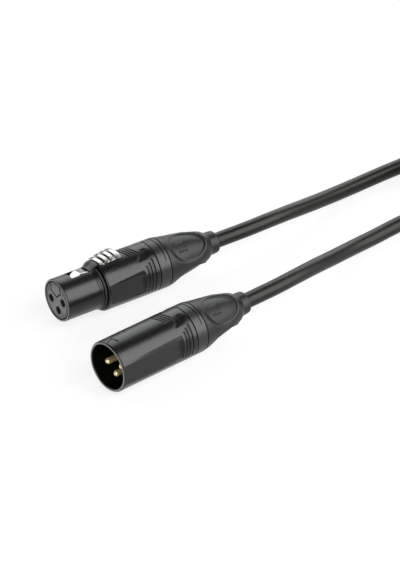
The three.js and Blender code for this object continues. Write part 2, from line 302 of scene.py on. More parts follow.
@dataclass(frozen=True)
class Finish:
    """Base of every finish: its slot, its colour range and how rough it is."""

    slot: Slot
    dark: Colour
    light: Colour
    roughness: float

    def material(self) -> bpy.types.Material:
        """The finish's one material, built at its first use.

        Returns:
            The material.
        """
        name = f"{self.slot.value}_finish"
        made = bpy.data.materials.get(name)
        if made is None:
            made = bpy.data.materials.new(name)
            self.build(Tree(made))
        return made

    def build(self, tree: Tree) -> None:
        """Builds the shader; each finish has its own.

        Args:
            tree: The material's empty tree.
        """
        raise NotImplementedError


@dataclass(frozen=True)
class Lacquer(Finish):
    """Satin lacquer on die-cast metal, with slight orange peel, faint wipe marks and a painted highlight: a
    lighter grey band along the front rim.
    """

    peel_depth: float = 0.003
    # Lighter grey and width of the painted highlight along the front rim.
    rim_highlight_grey: Colour = (0.15, 0.15, 0.148)
    rim_highlight_width: float = 0.22

    def build(self, tree: Tree) -> None:
        """Builds the lacquer.

        Args:
            tree: The material's empty tree.
        """
        peel = tree.noise(900.0, 2.0)
        wipes = tree.noise(160.0, 4.0, (1.0, 6.0, 6.0))
        cloud = tree.noise(90.0, 2.0)
        # The base colour turns lighter grey in a thin band at the mating face: a painted highlight on the
        # front rim.
        past_rim_highlight = tree.from_face().between(0.0, self.rim_highlight_width * MM)
        sound = tree.mixed(cloud.between(0.3, 0.7), self.dark, self.light)
        tree.surface(
            Base_Color=tree.mixed(past_rim_highlight, self.rim_highlight_grey, sound),
            Roughness=self.roughness + 0.09 * (wipes - 0.5) + 0.05 * (peel - 0.5),
            Normal=tree.bump(peel, self.peel_depth),
            IOR=1.42,
        )


@dataclass(frozen=True)
class Moulded(Finish):
    """Moulded plastic or rubber with the fine pebble of an eroded tool."""

    pebble: float = 5200.0
    depth: float = 0.012
    ior: float = 1.48

    def build(self, tree: Tree) -> None:
        """Builds the moulded surface.

        Args:
            tree: The material's empty tree.
        """
        pebble = tree.cells(self.pebble)
        flow = tree.noise(220.0, 4.0, (0.4, 1.0, 1.0))
        fine = tree.noise(3800.0, 3.0)
        tree.surface(
            Base_Color=tree.mixed((0.7 * flow + 0.3 * fine).between(0.3, 0.7), self.dark, self.light),
            Roughness=self.roughness + 0.12 * (flow - 0.5) + 0.1 * (fine - 0.5),
            Normal=tree.bump(0.7 * pebble + 0.3 * fine, self.depth),
            IOR=self.ior,
        )


@dataclass(frozen=True)
class GreyFaceOverPaintedShade(Moulded):
    """Moulding with a grey front face and a near-black colour below it: painted shade that keeps its holes
    and grooves dark.
    """

    face_layer_depth: float = 0.19
    # Near-black colour below the face layer: painted shade in the holes and grooves.
    moulding: Colour = grey(0.006)

    def build(self, tree: Tree) -> None:
        """Builds the grey face and the painted shade below it.

        Args:
            tree: The material's empty tree.
        """
        # Deeper than the thin face layer the base colour is near-black: painted shade in the holes and
        # grooves.
        behind = tree.from_face().between(self.face_layer_depth * MM, (self.face_layer_depth + 0.04) * MM)
        speckle = tree.noise(5200.0, 3.0)
        cloud = tree.noise(300.0, 2.0)
        face_grey = tree.mixed((0.5 * speckle + 0.5 * cloud).between(0.3, 0.7), self.dark, self.light)
        tree.surface(
            Base_Color=tree.mixed(behind, face_grey, self.moulding),
            Roughness=self.roughness + 0.14 * (speckle - 0.5) + 0.35 * behind,
            Normal=tree.bump(speckle, self.depth),
            IOR=1.46,
        )


@dataclass(frozen=True)
class Plated(Finish):
    """Plated or bare metal with fine marks drawn along one way."""

    draw: tuple[float, float, float] = (1.0, 1.0, 1.0)
    mark_depth: float = 0.001
    metallic: float = 1.0

    def build(self, tree: Tree) -> None:
        """Builds the metal.

        Args:
            tree: The material's empty tree.
        """
        marks = tree.noise(2600.0, 4.0, self.draw)
        haze = tree.noise(260.0, 3.0)
        tree.surface(
            Base_Color=tree.mixed(haze.between(0.3, 0.7), self.dark, self.light),
            Metallic=self.metallic,
            Roughness=self.roughness + 0.12 * (marks - 0.5) + 0.1 * (haze - 0.5),
            Normal=tree.bump(marks, self.mark_depth),
        )


@dataclass(frozen=True)
class Jacket(Finish):
    """Flexible cable jacket: matt skin over the lay of the cores, with a faint bloom."""

    def build(self, tree: Tree) -> None:
        """Builds the jacket.

        Args:
            tree: The material's empty tree.
        """
        lay = tree.noise(240.0, 2.0)
        skin = tree.noise(4200.0, 4.0)
        bloom = tree.noise(60.0, 5.0)
        tree.surface(
            Base_Color=tree.mixed((0.6 * bloom + 0.4 * skin).between(0.32, 0.68), self.dark, self.light),
            Roughness=self.roughness + 0.1 * (bloom - 0.5) + 0.12 * (skin - 0.5),
            Normal=tree.bump(0.75 * lay + 0.25 * skin, 0.012),
            IOR=1.33,
            Specular_Tint=(1.0, 0.95, 0.85, 1.0),
            Sheen_Weight=0.02,
            Sheen_Roughness=0.4,
            Sheen_Tint=(0.6, 0.8, 1.0, 1.0),
        )


@dataclass(frozen=True)
class LoopTape(Finish):
    """Woven loop tape with a napped face."""

    threads: float = 1500.0

    def build(self, tree: Tree) -> None:
        """Builds the tape.

        Args:
            tree: The material's empty tree.
        """
        nap = tree.noise(2600.0, 5.0)
        loops = tree.cells(self.threads)
        patch = tree.noise(140.0, 2.0)
        tree.surface(
            Base_Color=tree.mixed((0.5 * nap + 0.5 * patch).between(0.3, 0.7), self.dark, self.light),
            Roughness=self.roughness,
            Normal=tree.bump(0.6 * loops + 0.4 * nap, 0.16),
            Sheen_Weight=0.5,
            Sheen_Roughness=0.6,
        )


SHELL_PAINT = Lacquer(Slot.SHELL_PAINT, (0.0014, 0.0014, 0.0013), (0.0024, 0.0024, 0.0023), 0.29)
RUBBER = Moulded(Slot.RUBBER, grey(0.004), grey(0.008), 0.6)
# Grey insert face, with painted shade in its holes and grooves.
GREY_INSERT = GreyFaceOverPaintedShade(Slot.GREY_INSERT, grey(0.115), (0.145, 0.145, 0.144), 0.55)
BLACK_INSERT = Moulded(Slot.BLACK_INSERT, (0.007, 0.007, 0.0075), (0.012, 0.012, 0.0125), 0.5)
NICKEL = Plated(Slot.NICKEL, (0.34, 0.335, 0.325), (0.46, 0.455, 0.44), 0.2, (1.0, 0.08, 1.0))
STEEL = Plated(Slot.STEEL, (0.42, 0.43, 0.44), (0.58, 0.59, 0.6), 0.34)
GOLD = Plated(Slot.GOLD, (0.76, 0.6, 0.27), (0.9, 0.74, 0.4), 0.24, (0.15, 1.0, 1.0), 0.001, 0.65)
MOULDING = Moulded(Slot.MOULDING, grey(0.014), grey(0.024), 0.5)
NUT_MOULDING = Moulded(Slot.NUT_MOULDING, grey(0.003), (0.005, 0.005, 0.0049), 0.38, 5200.0, 0.003, 1.47)
BOOT = Moulded(Slot.BOOT, grey(0.002), (0.0035, 0.0035, 0.0034), 0.42, 4200.0, 0.004, 1.36)
JACKET = Jacket(Slot.JACKET, (0.0008, 0.001, 0.0014), (0.0018, 0.0022, 0.0028), 0.36)
TIE = LoopTape(Slot.TIE, (0.006, 0.006, 0.0065), (0.02, 0.02, 0.021), 0.92)
WIRE_RED = Moulded(Slot.WIRE_RED, (0.26, 0.018, 0.014), (0.38, 0.03, 0.022), 0.45)
WIRE_WHITE = Moulded(Slot.WIRE_WHITE, (0.6, 0.6, 0.56), (0.74, 0.74, 0.7), 0.45)
WIRE_BARE = Plated(Slot.WIRE_BARE, (0.62, 0.3, 0.16), (0.8, 0.42, 0.26), 0.35, (0.1, 1.0, 1.0))


# ---- Shapes ------------------------------------------------------------------------------------


@dataclass
class Shape:
    """Points in millimetres and faces of one or more closed bodies."""

    points: np.ndarray
    faces: list[Sequence[int]]

    def moved(self, x: float = 0.0, y: float = 0.0, z: float = 0.0) -> "Shape":
        """A copy moved by a distance along each axis."""
        return Shape(self.points + np.array((x, y, z)), self.faces)

    def joined(self, *others: "Shape") -> "Shape":
        """This shape and others as one.

        Args:
            others: The other shapes.

        Returns:
            One shape that holds them all.
        """
        points = self.points
        faces = list(self.faces)
        for other in others:
            start = len(points)
            faces.extend([tuple(start + int(i) for i in face) for face in other.faces])
            points = np.concatenate([points, other.points])
        return Shape(points, faces)


def step_up(low: float, high: float, value: np.ndarray) -> np.ndarray:
    """Smooth step.

    Args:
        low: Where the step starts.
        high: Where it ends.
        value: Where to measure it.

    Returns:
        Values from 0 to 1.
    """
    share = np.clip((value - low) / (high - low), 0, 1)
    return share * share * (3 - 2 * share)


def groove(distance: np.ndarray, width: float, depth: float) -> np.ndarray:
    """Depth of a groove with soft edges.

    Args:
        distance: Distance of each point from the groove's line.
        width: Full width.
        depth: Depth in the middle.

    Returns:
        The depth at each point.
    """
    return depth * (1 - step_up(0.25 * width, 0.6 * width, distance))


def from_segment(x: np.ndarray, y: np.ndarray, start: Sequence[float], end: Sequence[float]) -> np.ndarray:
    """Distance of points from a straight segment.

    Args:
        x: First coordinate of the points.
        y: Second coordinate of the points.
        start: One end of the segment.
        end: Its other end.

    Returns:
        The distances.
    """
    dx, dy = end[0] - start[0], end[1] - start[1]
    share = np.clip(((x - start[0]) * dx + (y - start[1]) * dy) / (dx * dx + dy * dy), 0, 1)
    return np.hypot(x - start[0] - share * dx, y - start[1] - share * dy)


def filleted(corners: Sequence[Corner], closed: bool) -> np.ndarray:
    """Outline with each corner rounded.

    Args:
        corners: Two coordinates and a fillet for each corner.
        closed: Whether the outline closes on itself.

    Returns:
        The outline's points.
    """
    arc = np.linspace(0, 1, 6)[:, None]
    made = []
    for i, (x, y, fillet) in enumerate(corners):
        here = np.array((x, y))
        at_end = not closed and i in (0, len(corners) - 1)
        if fillet == 0 or at_end:
            made.append(here[None])
            continue
        sides = [np.array(corners[j % len(corners)][:2]) - here for j in (i - 1, i + 1)]
        lengths = [np.linalg.norm(side) for side in sides]
        start, end = [here + s / n * min(fillet, FULL_FILLET * n) for s, n in zip(sides, lengths)]
        made.append((1 - arc) ** 2 * start + 2 * arc * (1 - arc) * here + arc**2 * end)
    return np.concatenate(made)


def divided(outline: np.ndarray, step: float, closed: bool) -> np.ndarray:
    """Outline with points added so that no side is longer than a step.

    Args:
        outline: The outline's points.
        step: Longest side.
        closed: Whether the outline closes on itself.

    Returns:
        The finer outline.
    """
    following = np.roll(outline, -1, axis=0)
    made = []
    for i, (start, end) in enumerate(zip(outline, following)):
        if not closed and i == len(outline) - 1:
            made.append(start[None])
            break
        count = max(1, math.ceil(np.linalg.norm(end - start) / step))
        made.append(start + (end - start) * np.arange(count)[:, None] / count)
    return np.concatenate(made)


def grid_faces(rows: int, columns: int, closed_rows: bool) -> list[Sequence[int]]:
    """Faces of a grid whose columns close on themselves.

    Args:
        rows: How many rows of points.
        columns: How many points in a row.
        closed_rows: Whether the last row joins the first.

    Returns:
        The four-sided faces.
    """
    row = np.arange(rows if closed_rows else rows - 1)[:, None] * columns
    below = (np.arange(1, len(row) + 1) % rows)[:, None] * columns
    column = np.arange(columns)[None]
    right = (column + 1) % columns
    faces = np.stack([row + column, row + right, below + right, below + column], axis=-1)
    return faces.reshape(-1, 4).tolist()


def turned(
    corners: Sequence[Corner],
    sides: int = 96,
    step: float = 2.0,
    relief: Relief | None = None,
    closed: bool = True,
) -> Shape:
    """Body turned about the x axis.

    Args:
        corners: Distance along the axis, radius and fillet of each corner of the profile.
        sides: Points round the axis.
        step: Longest side of the profile after dividing.
        relief: Gives new radii from distances along the axis, clock angles and radii.
        closed: Whether the profile closes on itself, or starts and ends on the axis.

    Returns:
        The shape.
    """
    profile = divided(filleted(corners, closed), step, closed)
    clock = np.linspace(-180, 180, sides, endpoint=False)
    x, angle = np.meshgrid(profile[:, 0], clock, indexing="ij")
    radius = np.repeat(profile[:, 1:], sides, axis=1)
    if relief:
        radius = relief(x, angle, radius)
    turn = np.radians(angle)
    points = np.stack([x, -radius * np.sin(turn), radius * np.cos(turn)], axis=-1)
    return Shape(points.reshape(-1, 3), grid_faces(len(profile), sides, closed))


def extruded(outline: Sequence[Corner], half_width: float, stations: int = 9, crown: float = 0.0) -> Shape:
    """Side outline carried across the connector.

    Args:
        outline: x, z and fillet of each corner.
        half_width: Half the width along y.
        stations: Sections from one side to the other.
        crown: How far the top falls towards its two sides.

    Returns:
        The shape.
    """
    section = filleted(outline, True)
    count = len(section)
    across = np.linspace(-half_width, half_width, stations)
    points = np.zeros((stations, count, 3))
    points[:, :, 0] = section[:, 0]
    points[:, :, 1] = across[:, None]
    high = step_up(section[:, 1].min(), section[:, 1].max(), section[:, 1])
    fall = crown * np.abs(across / half_width)[:, None] ** CROWN_POWER
    points[:, :, 2] = section[:, 1] - fall * high
    faces = grid_faces(stations, count, False)
    faces.append(list(range(count)))
    faces.append([(stations - 1) * count + i for i in reversed(range(count))])
    return Shape(points.reshape(-1, 3), faces)


def block(low: Sequence[float], high: Sequence[float]) -> Shape:
    """Plain box between two corners, for cutting."""
    picks = [(i, j, k) for i in (0, 1) for j in (0, 1) for k in (0, 1)]
    points = np.array([[(low, high)[p[axis]][axis] for axis in range(3)] for p in picks], float)
    faces = [(0, 1, 3, 2), (4, 6, 7, 5), (0, 4, 5, 1), (2, 3, 7, 6), (0, 2, 6, 4), (1, 5, 7, 3)]
    return Shape(points, faces)


def numeral(text: str, size: float, thickness: float) -> Shape:
    """Raised numeral that reads from in front of a mating face.

    Args:
        text: The numeral.
        size: Its height.
        thickness: How far it stands out.

    Returns:
        The shape, about the origin.
    """
    letters = bpy.data.curves.new("numeral", "FONT")
    letters.body = text
    letters.size = size
    letters.extrude = thickness
    letters.align_x = "CENTER"
    letters.align_y = "CENTER"
    carrier = bpy.data.objects.new("numeral", letters)
    mesh = bpy.data.meshes.new_from_object(carrier)
    flat = np.array([v.co for v in mesh.vertices])
    faces = [tuple(p.vertices) for p in mesh.polygons]
    bpy.data.objects.remove(carrier)
    bpy.data.curves.remove(letters)
    return Shape(np.stack([-flat[:, 2], -flat[:, 0], flat[:, 1]], axis=1), faces)


@dataclass(frozen=True)
class Placement:
    """Where a connector lies: middle of its mating face in millimetres, heading and roll in degrees."""

    x: float = 0.0
    y: float = 0.0
    z: float = 0.0
    heading: float = 0.0
    roll: float = 0.0

    def matrix(self) -> Matrix:
        """Turns the connector's frame into the row frame.

        Returns:
            The matrix, in metres.
        """
        place = Matrix.Translation(Vector((self.x, self.y, self.z)) * MM)
        heading = Matrix.Rotation(math.radians(self.heading), 4, "Z")
        return place @ heading @ Matrix.Rotation(math.radians(self.roll), 4, "X")


def make_object(name: str, shape: Shape, placement: Placement) -> bpy.types.Object:
    """Mesh object of a shape.

    Args:
        name: The object's name.
        shape: Its points and faces.
        placement: Where its frame lies.

    Returns:
        The object, with its normals out.
    """
    mesh = bpy.data.meshes.new(name)
    mesh.from_pydata((shape.points * MM).tolist(), [], shape.faces)
    work = bmesh.new()
    work.from_mesh(mesh)
    bmesh.ops.remove_doubles(work, verts=work.verts, dist=WELD_DISTANCE)
    bmesh.ops.recalc_face_normals(work, faces=work.faces)
    work.to_mesh(mesh)
    work.free()
    made = bpy.data.objects.new(name, mesh)
    bpy.context.scene.collection.objects.link(made)
    made.matrix_world = placement.matrix()
    return made


def apply_modifiers(piece: bpy.types.Object) -> None:
    """Makes a piece's modified mesh its own mesh.

    Args:
        piece: The piece.
    """
    bpy.context.view_layer.update()
    graph = bpy.context.evaluated_depsgraph_get()
    mesh = bpy.data.meshes.new_from_object(piece.evaluated_get(graph))
    piece.modifiers.clear()
    piece.data = mesh


def cut(piece: bpy.types.Object, placement: Placement, *tools: Shape) -> None:
    """Cuts shapes out of a piece.

    Args:
        piece: The piece.
        placement: Where the frame of the tools lies.
        tools: The shapes to take away.
    """
    cutters = [make_object("cutter", tool, placement) for tool in tools]
    for cutter in cutters:
        modifier = piece.modifiers.new("cut", "BOOLEAN")
        modifier.operation = "DIFFERENCE"
        modifier.solver = "EXACT"
        modifier.object = cutter
    apply_modifiers(piece)
    for cutter in cutters:
        bpy.data.objects.remove(cutter)


def ease_edges(piece: bpy.types.Object, width: float) -> None:
    """Rounds a piece's sharp edges.

    Args:
        piece: The piece.
        width: Width of the rounding in millimetres.
    """
    modifier = piece.modifiers.new("edges", "BEVEL")
    modifier.width = width * MM
    modifier.segments = 3
    modifier.limit_method = "ANGLE"
    modifier.angle_limit = ROUNDED_EDGE
    modifier.use_clamp_overlap = True
    apply_modifiers(piece)


def settle(
    piece: bpy.types.Object,
    finish: Finish,
    body: Ride,
    replaces: Sequence[str] = (),
    sharp: float = 42.0,
) -> bpy.types.Object:
    """Gives a piece its finish and its body, and hides the CAD nodes that it stands for.

    Args:
        piece: The finished piece.
        finish: Its finish.
        body: The body it rides on.
        replaces: The CAD nodes it stands for.
        sharp: Edges that turn more than this many degrees stay crisp.

    Returns:
        The piece.
    """
    if piece.type == "MESH":
        piece.data.shade_smooth()
        piece.data.set_sharp_from_angle(angle=math.radians(sharp))
    piece.data.materials.clear()
    piece.data.materials.append(finish.material())
    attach(piece, body.value)
    if replaces:
        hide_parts(*replaces)
    LOG.info("%s rides on %s in %s", piece.name, body.value, finish.slot.value)
    return piece


def make_piece(
    node: str, shape: Shape, placement: Placement, finish: Finish, body: Ride, sharp: float = 42.0
) -> bpy.types.Object:
    """Makes the finished piece that stands for one CAD node.

    Args:
        node: The CAD node's name.
        shape: The piece's points and faces.
        placement: Where its frame lies.
        finish: Its finish.
        body: The body it rides on.
        sharp: Edges that turn more than this many degrees stay crisp.

    Returns:
        The piece.
    """
    return settle(make_object(f"{node}_piece", shape, placement), finish, body, [node], sharp)


def dress(node: str, finish: Finish) -> None:
    """Gives a carried-over CAD node its finish.

    Args:
        node: The node's name.
        finish: Its finish.
    """
    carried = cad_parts[node]
    carried.data.materials.clear()
    carried.data.materials.append(finish.material())
    LOG.info("%s keeps its shape, in %s", node, finish.slot.value)


# ---- Relief of the shells and boots ------------------------------------------------------------


@dataclass(frozen=True)
class ShellRelief:
    """Grip relief that both shells carry on their skin, measured from the shell's rear end."""

    shell_end: float
    panel_front: float
    panel_top: tuple[float, float]
    radius: float = 9.5
    panel_rear: float = -6.7
    panel_middle: float = 100.0
    panel_distance: float = 8.75
    panel_deepening: float = 0.5
    panel_edge: tuple[float, ...] = (79.0, 77.0, 77.0, 78.5, 84.0)
    panel_bottom: tuple[float, float] = (124.0, 127.0)
    grip_rings: tuple[tuple[float, float], ...] = ((-5.0, 65.0), (-3.6, 59.0), (-2.1, 51.0))
    grip_bottom: float = 128.0
    grip_width: float = 0.8
    grip_depth: float = 0.46
    crease: tuple[tuple[float, float], ...] = ((-4.8, 31.0), (-7.9, 60.0))
    scoop_rear: float = -1.4
    scoop_depth: float = 0.38
    scoop_sides: tuple[float, float, float, float] = (19.0, 25.0, 34.0, 52.0)
    grip_lines: tuple[float, ...] = (-10.7, -9.45, -8.2, -6.95)
    line_slant: float = 1.5
    line_angles: tuple[float, float] = (2.0, 28.0)
    line_width: float = 0.52
    line_depth: float = 0.4
    skin_depths: tuple[float, float] = (0.7, 0.2)
    bevel_power: float = 0.7

    def __call__(self, x: np.ndarray, clock: np.ndarray, radius: np.ndarray) -> np.ndarray:
        """Radii of the skin with its relief.

        Args:
            x: Distances from the mating face.
            clock: Clock angles.
            radius: Radii of the plain profile.

        Returns:
            The new radii; points inside the skin keep theirs.
        """
        side = np.abs(clock)
        back = x - self.shell_end
        arc = np.radians(side) * self.radius
        depth = np.maximum(self._grips(back, side), self._panel(x, side))
        depth = np.maximum(depth, self._grip_lines(back, arc))
        depth = np.maximum(depth, self._scoop(back, side))
        return radius - depth * step_up(*(self.radius - inner for inner in self.skin_depths), radius)

    def _panel(self, x: np.ndarray, side: np.ndarray) -> np.ndarray:
        """Flat finger panel on each side, with a bevel above it that widens rearwards."""
        rear = self.shell_end + self.panel_rear
        run = np.clip((x - self.panel_front) / (rear - self.panel_front), 0, 1)
        top = self.panel_top[0] + (self.panel_top[1] - self.panel_top[0]) * run
        edge = np.interp(run, np.linspace(0, 1, len(self.panel_edge)), self.panel_edge)
        turn = np.radians(np.clip(side - self.panel_middle, -60, 60))
        flat = np.minimum(self.panel_distance / np.cos(turn), self.radius)
        depth = self.radius - flat + self.panel_deepening * run
        bevel = np.clip((side - top) / (edge - top), 0, 1) ** self.bevel_power
        begun = step_up(self.panel_front - 0.1, self.panel_front + 0.3, x)
        ends = begun * (1 - step_up(rear, rear + 0.7, x))
        return depth * bevel * ends * (1 - step_up(*self.panel_bottom, side))

    def _grips(self, back: np.ndarray, side: np.ndarray) -> np.ndarray:
        """Part rings behind the panel that the fingers hold when the nut is turned."""
        depth = np.zeros_like(back)
        for place, top in self.grip_rings:
            beyond = np.maximum(np.maximum(top - side, side - self.grip_bottom), 0)
            distance = np.hypot(back - place, np.radians(beyond) * self.radius)
            depth = np.maximum(depth, groove(distance, self.grip_width, self.grip_depth))
        return depth

    def _grip_lines(self, back: np.ndarray, arc: np.ndarray) -> np.ndarray:
        """Parallel slanted grip lines behind the latch."""
        depth = np.zeros_like(back)
        top, bottom = (math.radians(angle) * self.radius for angle in self.line_angles)
        for front in self.grip_lines:
            distance = from_segment(back, arc, (front, top), (front + self.line_slant, bottom))
            depth = np.maximum(depth, groove(distance, self.line_width, self.line_depth))
        return depth

    def _scoop(self, back: np.ndarray, side: np.ndarray) -> np.ndarray:
        """Slanted scoop behind a crease, between the grip lines and the grip rings."""
        (front_place, front_angle), (rear_place, rear_angle) = self.crease
        slope = (rear_place - front_place) / (rear_angle - front_angle)
        crease = front_place + slope * (side - front_angle)
        behind = (back - crease) / (self.scoop_rear - crease)
        ramp = np.clip(1 - behind, 0, 1) * step_up(-0.3, 0.02, behind)
        low, lower, upper, high = self.scoop_sides
        across = step_up(low, lower, side) * (1 - step_up(upper, high, side))
        return self.scoop_depth * ramp * across


@dataclass(frozen=True)
class BootRelief:
    """Three leaf-shaped finger hollows round a boot, each with short grip ribs at its front."""

    shell_end: float
    hollow: tuple[float, float] = (6.6, 23.2)
    middles: tuple[float, ...] = (-74.0, 46.0, 166.0)
    half_angle: float = 50.0
    depth: float = 0.52
    lip: float = 0.2
    rib_angles: tuple[float, ...] = (-13.0, 0.0, 13.0)
    rib_run: tuple[float, float] = (10.6, 14.0)
    rib_width: float = 0.6
    rib_depth: float = 0.3
    bore_edge: tuple[float, float] = (3.95, 4.15)
    lip_reach: float = 1.05
    lip_width: float = 0.05

    def __call__(self, x: np.ndarray, clock: np.ndarray, radius: np.ndarray) -> np.ndarray:
        """Radii of the boot's skin with its hollows.

        Args:
            x: Distances from the mating face.
            clock: Clock angles.
            radius: Radii of the plain profile.

        Returns:
            The new radii; the bore keeps its own.
        """
        back = x - self.shell_end
        middle = (self.hollow[0] + self.hollow[1]) / 2
        along = (back - middle) / (self.hollow[1] - middle)
        outside = step_up(*self.bore_edge, radius)
        change = np.zeros_like(radius)
        for centre in self.middles:
            offset = (clock - centre + 180) % 360 - 180
            reach = np.hypot(along, offset / self.half_angle)
            rear = step_up(-0.6, 0.5, along)
            bowl = 1 - step_up(0.0, 1.0, (reach - 0.8 - 0.08 * rear) / (0.2 - 0.1 * rear))
            change -= self.depth * bowl
            lip = np.exp(-(((reach - self.lip_reach) / self.lip_width) ** 2))
            change += self.lip * lip * (0.3 + 0.7 * rear)
            change -= self._ribs(back, np.radians(offset) * radius, radius)
        return radius + change * outside

    def _ribs(self, back: np.ndarray, arc: np.ndarray, radius: np.ndarray) -> np.ndarray:
        """Slots between the grip ribs."""
        depth = np.zeros_like(back)
        for angle in self.rib_angles:
            place = math.radians(angle) * radius
            ends = [(reach, 0.0) for reach in self.rib_run]
            distance = from_segment(back, arc - place, *ends)
            depth = np.maximum(depth, groove(distance, self.rib_width, self.rib_depth))
        return depth


# ---- Connectors --------------------------------------------------------------------------------


@dataclass
class RearEnd:
    """Back nut, boot and jacket end that close the rear of a connector."""

    prefix: str
    shell_end: float
    placement: Placement
    body: Ride
    sleeve_radius: float = 7.4
    collar_radius: float = 9.45
    thread_pitch: float = 1.0
    thread_height: float = 0.22
    threaded: tuple[float, float, float, float] = (-6.9, -6.3, -1.4, -0.8)
    part_ring: tuple[float, float, float, float] = (3.3, 64.0, 0.42, 0.28)
    boot_taper: tuple[tuple[float, float], ...] = (
        (5.1, 9.4),
        (8.5, 8.78),
        (11.0, 8.38),
        (13.0, 8.04),
        (15.0, 7.7),
        (17.0, 7.37),
        (19.0, 7.0),
        (21.0, 6.52),
        (23.0, 5.98),
        (24.3, 5.5),
        (25.0, 5.05),
        (25.6, 4.6),
    )
    cable_radius: float = 2.85

    def build(self) -> None:
        """Builds the nut, the boot and the jacket end, and dresses the pieces inside."""
        self._nut()
        self._boot()
        self._jacket_end()
        dress(f"{self.prefix}_cable_clamp", MOULDING)
        dress(f"{self.prefix}_earth_tag", STEEL)
        for i, finish in enumerate((WIRE_RED, WIRE_WHITE, WIRE_BARE)):
            dress(f"{self.prefix}_conductor_{i + 1}", finish)

    def _nut_relief(self, x: np.ndarray, clock: np.ndarray, radius: np.ndarray) -> np.ndarray:
        """Thread on the sleeve and a part ring on the collar.

        Args:
            x: Distances from the mating face.
            clock: Clock angles.
            radius: Radii of the plain profile.

        Returns:
            The new radii.
        """
        back = x - self.shell_end
        phase = (back / self.thread_pitch + clock / 360) % 1.0
        ridge = np.abs(2 * phase - 1)
        threaded = step_up(*self.threaded[:2], back) * (1 - step_up(*self.threaded[2:], back))
        on_sleeve = (radius > self.sleeve_radius - 0.05) & (radius < self.sleeve_radius + 0.05)
        place, reach, width, depth = self.part_ring
        beyond = np.radians(np.maximum(np.abs(clock) - reach, 0)) * self.collar_radius
        ring = groove(np.hypot(back - place, beyond), width, depth)
        on_collar = step_up(self.collar_radius - 0.4, self.collar_radius - 0.1, radius)
        return radius - self.thread_height * ridge * threaded * on_sleeve - ring * on_collar

    def _nut(self) -> None:
        """Threaded nut with its collar flush with the shell."""
        end = self.shell_end
        corners = (
            (end - 7.2, 6.3, 0.1),
            (end - 7.2, self.sleeve_radius, 0.3),
            (end + 0.3, self.sleeve_radius, 0.1),
            (end + 0.3, self.collar_radius, 0.16),
            (end + 4.8, self.collar_radius, 0.2),
            (end + 4.8, 6.0, 0.1),
            (end + 11.3, 6.0, 0.2),
            (end + 11.3, 4.9, 0.1),
            (end + 6.0, 4.9, 0.1),
            (end + 3.8, 6.3, 0.1),
        )
        shape = turned(corners, sides=288, step=0.14, relief=self._nut_relief)
        make_piece(f"{self.prefix}_back_nut", shape, self.placement, NUT_MOULDING, self.body)

    def _boot(self) -> None:
        """Tapered boot with three finger hollows and a short collar at the cable."""
        end = self.shell_end
        corners = [(end + 5.1, 6.3, 0.1)]
        fillets = [0.18] + [0.0] * (len(self.boot_taper) - 1)
        corners += [(end + place, radius, soft) for (place, radius), soft in zip(self.boot_taper, fillets)]
        corners += [
            (end + 26.0, 4.35, 0.2),
            (end + 28.6, 4.2, 0.2),
            (end + 29.5, 4.1, 0.35),
            (end + 29.5, 3.15, 0.12),
            (end + 11.6, 3.15, 0.1),
            (end + 11.6, 6.3, 0.1),
        ]
        shape = turned(corners, sides=300, step=0.16, relief=BootRelief(end))
        make_piece(f"{self.prefix}_boot", shape, self.placement, BOOT, self.body)

    def _jacket_end(self) -> None:
        """Round jacket from inside the clamp to the mouth of the boot."""
        end = self.shell_end
        corners = (
            (end - 7.7, 0.0, 0.0),
            (end - 7.7, self.cable_radius, 0.2),
            (end + 29.9, self.cable_radius, 0.0),
            (end + 29.9, 0.0, 0.0),
        )
        shape = turned(corners, sides=40, closed=False)
        make_piece(f"{self.prefix}_jacket_end", shape, self.placement, JACKET, Ride.CABLE_SET)


@dataclass(frozen=True)
class ContactRing:
    """Where the three contacts stand: their circle and their clock angles."""

    circle: float = 3.81
    clock: tuple[float, float, float] = (-90.0, 90.0, 180.0)

    def spots(self) -> list[tuple[float, float]]:
        """The y and z of each contact."""
        turns = [math.radians(angle) for angle in self.clock]
        return [(-self.circle * math.sin(t), self.circle * math.cos(t)) for t in turns]


